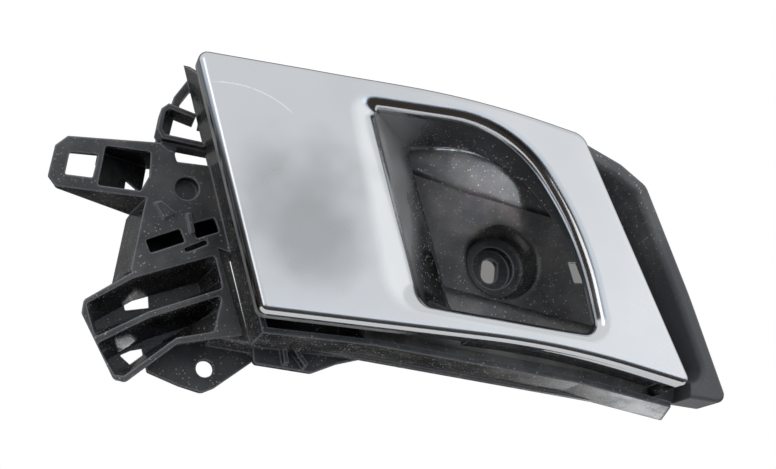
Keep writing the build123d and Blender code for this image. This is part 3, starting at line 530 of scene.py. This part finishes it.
def rounded_ring(corners, radii):
    """Points round a polygon with rounded corners, always as many, corner after corner."""
    arcs = []
    count = len(corners)
    for index, radius in enumerate(radii):
        here = Vector(corners[index])
        back = (Vector(corners[index - 1]) - here).normalized()
        ahead = (Vector(corners[(index + 1) % count]) - here).normalized()
        half = math.acos(max(-1.0, min(1.0, back.dot(ahead)))) / 2
        centre = here + (back + ahead).normalized() * (radius / math.sin(half))
        first = here + back * (radius / math.tan(half))
        turn = math.pi - 2 * half
        start = first - centre
        sign = -1 if back.cross(ahead) > 0 else 1
        turns = [sign * turn * step / CORNER_STEPS for step in range(CORNER_STEPS + 1)]
        arcs.append([centre + Matrix.Rotation(angle, 2) @ start for angle in turns])
    ring = []
    for index, arc in enumerate(arcs):
        ring.extend(arc)
        following = arcs[(index + 1) % count][0]
        for step in range(1, SIDE_STEPS):
            ring.append(arc[-1].lerp(following, step / SIDE_STEPS))
    return ring


def opening_ring(depth, sizes):
    """Section of the finger opening at a depth below the face."""
    if depth <= 0:
        side = ramp = depth
    else:
        side = turn_in(depth, sizes.lip_radius / MM, sizes.lip_slope)
        ramp = turn_in(depth, sizes.ramp_radius / MM, sizes.ramp_slope)
    ramp_ends = (ramp * (1 + sizes.ramp_spread), ramp * (1 - sizes.ramp_spread))
    corners = moved_corners(OPENING_OUTLINE, [(side, side)] * 4 + [ramp_ends])
    radii = [max(radius - side, TIGHTEST_CORNER) for _, _, radius in OPENING_OUTLINE]
    return rounded_ring(corners, radii)


def edge_ring(inset):
    """Outline of the plate moved inwards."""
    corners = moved_corners(LEVER_OUTLINE, [(inset, inset)] * len(LEVER_OUTLINE))
    radii = [max(radius - inset, TIGHTEST_PLATE_CORNER) for _, _, radius in LEVER_OUTLINE]
    return rounded_ring(corners, radii)


def trim_level(x):
    """Depth level at which the scoop's wall ends, deep on the left and shallow on the right."""
    return max(0.0, TRIM_RATE * (TRIM_START - x))


def start_ring(mesh, ring, y):
    """Closed loop of vertices, joined by edges, through the points of a ring at one depth."""
    corners = [mesh.verts.new((p.x * MM, y * MM, p.y * MM)) for p in ring]
    for first, second in zip(corners, corners[1:] + corners[:1]):
        mesh.edges.new((first, second))
    return corners


def ring_edges(mesh, ring):
    """Edges between the neighbours of a closed loop of vertices."""
    return [mesh.edges.get((first, second)) for first, second in zip(ring, ring[1:] + ring[:1])]


def extend_ring(mesh, ring, places):
    """Extrudes a loop of vertices and puts its new points in their places, in the order of the loop."""
    grown = bmesh.ops.extrude_edge_only(mesh, edges=ring_edges(mesh, ring))
    fresh = {item for item in grown["geom"] if isinstance(item, bmesh.types.BMVert)}
    following = []
    for old in ring:
        links = [edge.other_vert(old) for edge in old.link_edges]
        following.append(next(vert for vert in links if vert in fresh))
    for vert, (x, y, z) in zip(following, places):
        vert.co = (x * MM, y * MM, z * MM)
    return following


def plated_loop(sizes):
    """Skin of the loop: rim, rolled edge, flat face, rounded lip and the scoop that runs in from its left."""
    face = -sizes.face_level / MM
    rim = -sizes.rim_level / MM
    edge = sizes.edge_radius / MM
    mesh = bmesh.new()
    outer = start_ring(mesh, edge_ring(0.0), rim)
    steps = [(0.0, face + edge)]
    for degrees in EDGE_ANGLES:
        angle = math.radians(degrees)
        steps.append((edge * (1 - math.cos(angle)), face + edge - edge * math.sin(angle)))
    steps.append((edge - FLAT_RIM, face))
    for inset, y in steps:
        outer = extend_ring(mesh, outer, [(p.x, y, p.y) for p in edge_ring(inset)])
    inner = start_ring(mesh, opening_ring(FLAT_RIM, sizes), face)
    rims = ring_edges(mesh, outer) + ring_edges(mesh, inner)
    bmesh.ops.triangle_fill(mesh, use_beauty=True, edges=rims)
    inner = extend_ring(mesh, inner, [(p.x, face, p.y) for p in opening_ring(0.0, sizes)])
    lip = sizes.lip_radius / MM
    depths = [lip * (1 - math.cos(math.radians(a))) for a in LIP_ANGLES]
    for depth in depths:
        inner = extend_ring(mesh, inner, [(p.x, face + depth, p.y) for p in opening_ring(depth, sizes)])
    rings = {}
    ends = scoop_ends(rings, sizes, depths[-1])
    for share in WALL_SHARES:
        places = []
        for index, end in enumerate(ends):
            depth = depths[-1] + (end - depths[-1]) * share
            p = opening_point(rings, sizes, depth, index)
            places.append((p.x, face + depth, p.y))
        inner = extend_ring(mesh, inner, places)
    soften_corner(mesh, OPENING_OUTLINE[0], face)
    keep_order(mesh)
    bmesh.ops.recalc_face_normals(mesh, faces=mesh.faces[:])
    return mesh


def keep_order(mesh):
    """Sorts edges and faces by their lowest vertices, since extruding leaves them in another order each run."""
    mesh.verts.index_update()
    count = len(mesh.verts)

    def number(element):
        total = 0
        for index in sorted(vert.index for vert in element.verts)[:3]:
            total = total * count + index
        return total

    mesh.edges.sort(key=number)
    mesh.faces.sort(key=number)


def soften_corner(mesh, corner, face):
    """Eases the skin round a corner of the opening, where the steep lip runs into the ramp."""
    x, z, _ = corner
    near = [
        vert for vert in mesh.verts
        if math.hypot(vert.co.x / MM - x, vert.co.z / MM - z) < CORNER_REACH
        and vert.co.y / MM > face + CORNER_RIM and not vert.is_boundary
    ]
    for _ in range(CORNER_PASSES):
        bmesh.ops.smooth_vert(
            mesh, verts=near, factor=0.5, use_axis_x=True, use_axis_y=True, use_axis_z=True
        )


def opening_point(rings, sizes, depth, index):
    """One point of the opening's section at a depth, from the rings made so far or a new one."""
    key = round(depth, 4)
    if key not in rings:
        rings[key] = opening_ring(depth, sizes)
    return rings[key][index]


def scoop_ends(rings, sizes, low):
    """Depth, below a lowest one, at which each line down the scoop's wall meets its slanted end."""
    shallow = sizes.right_depth / MM
    ends = []
    for index in range(len(opening_ring(0.0, sizes))):
        near, far = low, DEEPEST
        for _ in range(HALVINGS):
            middle = (near + far) / 2
            level = shallow + trim_level(opening_point(rings, sizes, middle, index).x)
            if middle < level:
                near = middle
            else:
                far = middle
        ends.append(near)
    return ends


def new_object(name, data):
    """Object in the scene, at the origin."""
    made = bpy.data.objects.new(name, data)
    bpy.context.scene.collection.objects.link(made)
    return made


def mesh_piece(name, mesh, material, body):
    """Smooth object from a finished bmesh, riding on a body."""
    data = bpy.data.meshes.new(name)
    mesh.to_mesh(data)
    mesh.free()
    data.materials.append(material)
    data.polygons.foreach_set("use_smooth", [True] * len(data.polygons))
    piece = new_object(name, data)
    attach(piece, body)
    return piece


class HANDLE_OT_lever_shell(bpy.types.Operator):
    """Makes the plated loop with smooth rolled edges in place of its solid"""

    bl_idname = "handle.lever_shell"
    bl_label = "Plated lever"
    bl_options = {"REGISTER", "UNDO"}

    def execute(self, context):
        sizes = context.scene.handle_lever
        finish = satin_chrome_plating()
        piece = mesh_piece("plated_loop", plated_loop(sizes), finish, "lever")
        wall = piece.modifiers.new("wall", "SOLIDIFY")
        wall.thickness = sizes.wall
        wall.offset = -1.0
        soft = piece.modifiers.new("edges", "BEVEL")
        soft.width = SOFT_EDGE * MM
        soft.segments = 2
        soft.limit_method = "ANGLE"
        soft.angle_limit = math.radians(50)
        soft.harden_normals = True
        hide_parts("lever_shell")
        return {"FINISHED"}


class HANDLE_OT_lever_frame(bpy.types.Operator):
    """Finishes the black frame inside the lever"""

    bl_idname = "handle.lever_frame"
    bl_label = "Lever frame"
    bl_options = {"REGISTER", "UNDO"}

    def execute(self, context):
        nylon = moulded_black_nylon("glass filled nylon of the lever", 0.35)
        finish_node("lever_frame", nylon)
        return {"FINISHED"}


class HANDLE_OT_carrier(bpy.types.Operator):
    """Finishes the carrier moulding"""

    bl_idname = "handle.carrier"
    bl_label = "Carrier"
    bl_options = {"REGISTER", "UNDO"}

    def execute(self, context):
        nylon = moulded_black_nylon("glass filled nylon of the carrier", 1.0)
        finish_node("carrier", nylon)
        return {"FINISHED"}


class HANDLE_OT_bezel(bpy.types.Operator):
    """Finishes the bezel and its finger bowl"""

    bl_idname = "handle.bezel"
    bl_label = "Bezel"
    bl_options = {"REGISTER", "UNDO"}

    def execute(self, context):
        finish_node("bezel", soft_touch_paint())
        return {"FINISHED"}


class HANDLE_OT_hinge(bpy.types.Operator):
    """Finishes the pin, its ring, the return spring and the bushes"""

    bl_idname = "handle.hinge"
    bl_label = "Hinge"
    bl_options = {"REGISTER", "UNDO"}

    def execute(self, context):
        colours = context.scene.handle_colours
        steel = plain_metal("ground steel", colours.steel, 0.25, 0.0004)
        wire = plain_metal("drawn spring wire", colours.wire, 0.35, 0.0005)
        acetal = plain_moulding("natural acetal", colours.acetal, 0.35)
        finish_node("pivot_pin", steel)
        finish_node("pin_clip", steel)
        finish_node("return_spring", wire)
        finish_node("bush_lower", acetal)
        finish_node("bush_upper", acetal)
        return {"FINISHED"}


class HANDLE_OT_stops(bpy.types.Operator):
    """Finishes the rubber rest stops"""

    bl_idname = "handle.stops"
    bl_label = "Rest stops"
    bl_options = {"REGISTER", "UNDO"}

    def execute(self, context):
        rubber = plain_moulding("moulded rubber", context.scene.handle_colours.rubber, 0.75)
        finish_node("stop_left", rubber)
        finish_node("stop_right", rubber)
        return {"FINISHED"}


class HANDLE_OT_screws(bpy.types.Operator):
    """Finishes the small screws"""

    bl_idname = "handle.screws"
    bl_label = "Screws"
    bl_options = {"REGISTER", "UNDO"}

    def execute(self, context):
        zinc = plain_metal("zinc plated steel", context.scene.handle_colours.zinc, 0.3, 0.0006)
        for name in HINGE_SCREWS + BEZEL_SCREWS:
            finish_node(name, zinc)
        return {"FINISHED"}


# Studio

# The photograph's width, its middle and the pixel where the screw seat lies
PHOTO_WIDTH = 776
PHOTO_MIDDLE = (388, 234.5)
SEAT_PIXEL = (489, 271)
SENSOR_WIDTH = 36.0

# Patches of the sky: the photographer, a low window behind on the right, and the painted shade, a grey
# backdrop, that shows through the two holes. Each has its direction and the degrees of its edge and of its
# core.
PHOTOGRAPHER = ((-0.24, -0.92, -0.31), 32.0, 10.0)
WINDOW = ((0.41, 0.87, -0.27), 5.0, 1.0)
BEHIND_SLOT = ((0.3137, 0.9039, 0.2908), 1.3, 1.2)
BEHIND_HOLE = ((0.3759, 0.8784, 0.2951), 1.3, 1.2)
WINDOW_STRENGTH = 3.0
GROUND_STRENGTH = 0.16
BEHIND_SHARE = 0.22
PHOTOGRAPHER_SHARE = 0.4
DIFFUSE_SHARE = 0.9
HORIZON = (-0.14, -0.02)
HIGH_SKY = (0.02, 0.16)

# Half width and half depth of the floor, and how far its middle lies behind the handle
FLOOR_HALF = (0.7, 0.4)
FLOOR_SHIFT = 0.24

# Each light's name, place, size, power setting, colour and whether it shows in gloss, and the lights' targets
LIT_POINT = (-0.03, -0.03, 0.0)
BOWL_LIGHT = (0.01, -0.60, -0.28)
BOWL_POINT = (-0.010, -0.015, 0.029)
BOWL_SPREAD = 3.0
WHITE = (1.0, 1.0, 1.0)
LIGHTS = (
    ("right softbox", (0.81, -0.78, 0.41), (1.17, 0.7), "right", WHITE, True),
    ("right fill", (0.92, -0.66, 0.42), (0.4, 0.4), "fill", WHITE, False),
    ("left softbox", (-0.76, -0.96, 0.03), (0.45, 0.8), "left", WHITE, True),
    ("low fill", (0.65, -0.45, -0.28), (0.3, 0.3), "low", WHITE, False),
    ("top softbox", (0.2, -0.4, 1.1), (0.9, 0.7), "top", WHITE, False),
    ("front strip", (0.25, -1.3, 0.0), (1.3, 0.26), "strip", linear("#dcecff"), True),
)


def aim(position, target):
    """Turn that points a light's or camera's -Z axis from a place to a target."""
    return (Vector(target) - Vector(position)).to_track_quat("-Z", "Y").to_matrix().to_4x4()


def soft_light(name, position, target, size, power, colour, shows_in_gloss, spread=180.0):
    """Rectangular soft box, which may be kept from showing in gloss or gridded to a narrow spread."""
    data = bpy.data.lights.new(name, "AREA")
    data.shape = "RECTANGLE"
    data.size, data.size_y = size
    data.energy = power
    data.color = colour
    data.spread = math.radians(spread)
    light = new_object(name, data)
    light.matrix_world = Matrix.Translation(position) @ aim(position, target)
    light.visible_camera = False
    light.visible_glossy = shows_in_gloss
    return light


def sky_patch(tree, direction, patch):
    """Share of a soft round patch of the sky, given by its direction and the degrees of its edge and core."""
    centre, edge, core = patch
    near = add_node(tree, DOT, direction, Vector(centre).normalized())
    return add_node(tree, RANGE, near, math.cos(math.radians(edge)), math.cos(math.radians(core)))


def studio_sky(strength):
    """White backdrop for the camera, with grey painted shade where it is seen through the two holes, and for
    light and gloss a sky, bluish at the horizon and dark below it.

    The sky is dimmer where the photographer stands and, in gloss only, behind the handle.
    """
    world = bpy.data.worlds.new("studio sky")
    world.use_nodes = True
    tree = world.node_tree
    tree.nodes.clear()
    direction = add_node(tree, COORDINATES)["Generated"]
    parts = add_node(tree, SPLIT, direction)
    rays = add_node(tree, LIGHT_PATH)
    photographer = sky_patch(tree, direction, PHOTOGRAPHER)
    window = sky_patch(tree, direction, WINDOW)
    behind = add_node(tree, RANGE, parts["Y"], 0.0, 0.35, 1.0, BEHIND_SHARE)
    above = add_node(tree, RANGE, parts["Z"], *HORIZON)
    level = add_node(tree, PLUS, GROUND_STRENGTH, add_node(tree, TIMES, above, strength - GROUND_STRENGTH))
    dimmed = add_node(tree, RANGE, photographer, 0.0, 1.0, 1.0, PHOTOGRAPHER_SHARE)
    level = add_node(tree, TIMES, level, dimmed)
    level = add_node(tree, TIMES, level, add_node(tree, LARGER, behind, rays["Is Diffuse Ray"]))
    level = add_node(tree, PLUS, level, add_node(tree, TIMES, window, WINDOW_STRENGTH))
    diffuse = add_node(tree, RANGE, rays["Is Diffuse Ray"], 0.0, 1.0, 1.0, DIFFUSE_SHARE)
    level = add_node(tree, TIMES, level, diffuse)
    tint = add_node(tree, BLEND, above, opaque(linear("#968b85")), opaque(linear("#dde8f5")))
    high = add_node(tree, RANGE, parts["Z"], *HIGH_SKY)
    tint = add_node(tree, BLEND, high, tint, opaque(linear("#f8f9fb")))
    tint = add_node(tree, BLEND, window, tint, opaque(linear("#f4f8fb")))
    surround = add_node(tree, BACKGROUND, tint, level)
    # Painted shade: the camera sees grey, not white, through the slot and the sight hole
    shade_behind_holes = add_node(
        tree, LARGER, sky_patch(tree, direction, BEHIND_SLOT), sky_patch(tree, direction, BEHIND_HOLE)
    )
    backdrop = add_node(tree, BLEND, shade_behind_holes, opaque(WHITE), opaque(linear("#858483")))
    seen = add_node(tree, BACKGROUND, backdrop, 1.0)
    add_node(tree, WORLD_OUTPUT, add_node(tree, EITHER, rays["Is Camera Ray"], surround, seen))
    bpy.context.scene.world = world


def studio_floor(level):
    """Plain pale floor, whose front edge lies just before the handle as a table's does."""
    mesh = bmesh.new()
    bmesh.ops.create_grid(mesh, x_segments=1, y_segments=1, size=1.0)
    bmesh.ops.scale(mesh, verts=mesh.verts[:], vec=(*FLOOR_HALF, 1.0))
    bmesh.ops.translate(mesh, verts=mesh.verts[:], vec=(0.0, FLOOR_SHIFT, level))
    data = bpy.data.meshes.new("floor")
    mesh.to_mesh(data)
    mesh.free()
    material, tree, _ = new_material("pale studio floor")
    add_node(tree, MATERIAL_OUTPUT, add_node(tree, SURFACE, opaque(linear("#f0f0ef")), 0.8))
    data.materials.append(material)
    return new_object("floor", data)


def photo_camera(settings):
    """Camera that stands where the photograph was taken, rolled as it was."""
    turn = settings.azimuth
    rise = settings.elevation
    towards = Vector((math.sin(turn) * math.cos(rise), -math.cos(turn) * math.cos(rise), math.sin(rise)))
    ahead = -towards
    right = Vector((math.cos(turn), math.sin(turn), 0.0))
    up = right.cross(ahead)
    rolled_right = math.cos(settings.roll) * right + math.sin(settings.roll) * up
    rolled_up = math.cos(settings.roll) * up - math.sin(settings.roll) * right
    focal = settings.lens / SENSOR_WIDTH
    off_right = (SEAT_PIXEL[0] - PHOTO_MIDDLE[0]) / PHOTO_WIDTH / focal
    off_up = (PHOTO_MIDDLE[1] - SEAT_PIXEL[1]) / PHOTO_WIDTH / focal
    position = -settings.distance * (ahead + off_right * rolled_right + off_up * rolled_up)
    data = bpy.data.cameras.new("photo camera")
    data.lens = settings.lens
    data.sensor_width = SENSOR_WIDTH
    camera = new_object("photo camera", data)
    basis = Matrix((rolled_right, rolled_up, -ahead)).transposed().to_4x4()
    camera.matrix_world = Matrix.Translation(position) @ basis
    bpy.context.scene.camera = camera
    return camera


class HANDLE_OT_studio(bpy.types.Operator):
    """Sets the floor, the sky, the lights and the camera"""

    bl_idname = "handle.studio"
    bl_label = "Studio"
    bl_options = {"REGISTER", "UNDO"}

    def execute(self, context):
        settings = context.scene.handle_studio
        context.scene.view_settings.view_transform = "Standard"
        studio_sky(settings.sky)
        floor = studio_floor(-settings.floor_drop)
        camera = photo_camera(settings)
        for name, position, size, power, colour, shows_in_gloss in LIGHTS:
            watts = getattr(settings, power)
            soft_light(name, position, LIT_POINT, size, watts, colour, shows_in_gloss)
        gridded = soft_light(
            "gridded bowl light", BOWL_LIGHT, BOWL_POINT, (0.03, 0.02), settings.bowl, WHITE,
            False, spread=BOWL_SPREAD,
        )
        return {"FINISHED"}


class HANDLE_PT_panel(bpy.types.Panel):
    """Lists the pieces and their settings."""

    bl_idname = "HANDLE_PT_panel"
    bl_label = "Door Handle"
    bl_space_type = "VIEW_3D"
    bl_region_type = "UI"
    bl_category = "Door Handle"

    def draw(self, context):
        layout = self.layout
        for operator in PIECES:
            layout.operator(operator.bl_idname)
        scene = context.scene
        for group in (scene.handle_colours, scene.handle_lever, scene.handle_studio):
            box = layout.box()
            for name in group.__annotations__:
                box.prop(group, name)


PIECES = (
    HANDLE_OT_lever_shell,
    HANDLE_OT_lever_frame,
    HANDLE_OT_carrier,
    HANDLE_OT_bezel,
    HANDLE_OT_hinge,
    HANDLE_OT_stops,
    HANDLE_OT_screws,
    HANDLE_OT_studio,
)
CLASSES = (HandleColours, LeverSizes, StudioSettings, *PIECES, HANDLE_PT_panel)


def register():
    """Registers the classes and hangs their settings on the scene."""
    for kind in CLASSES:
        bpy.utils.register_class(kind)
    bpy.types.Scene.handle_colours = bpy.props.PointerProperty(type=HandleColours)
    bpy.types.Scene.handle_lever = bpy.props.PointerProperty(type=LeverSizes)
    bpy.types.Scene.handle_studio = bpy.props.PointerProperty(type=StudioSettings)


def unregister():
    """Takes the settings and the classes away again."""
    del bpy.types.Scene.handle_studio
    del bpy.types.Scene.handle_lever
    del bpy.types.Scene.handle_colours
    for kind in reversed(CLASSES):
        bpy.utils.unregister_class(kind)


def main():
    """Makes every piece."""
    register()
    bpy.ops.handle.lever_shell()
    bpy.ops.handle.lever_frame()
    bpy.ops.handle.carrier()
    bpy.ops.handle.bezel()
    bpy.ops.handle.hinge()
    bpy.ops.handle.stops()
    bpy.ops.handle.screws()
    bpy.ops.handle.studio()


if __name__ == "__main__":
    main()
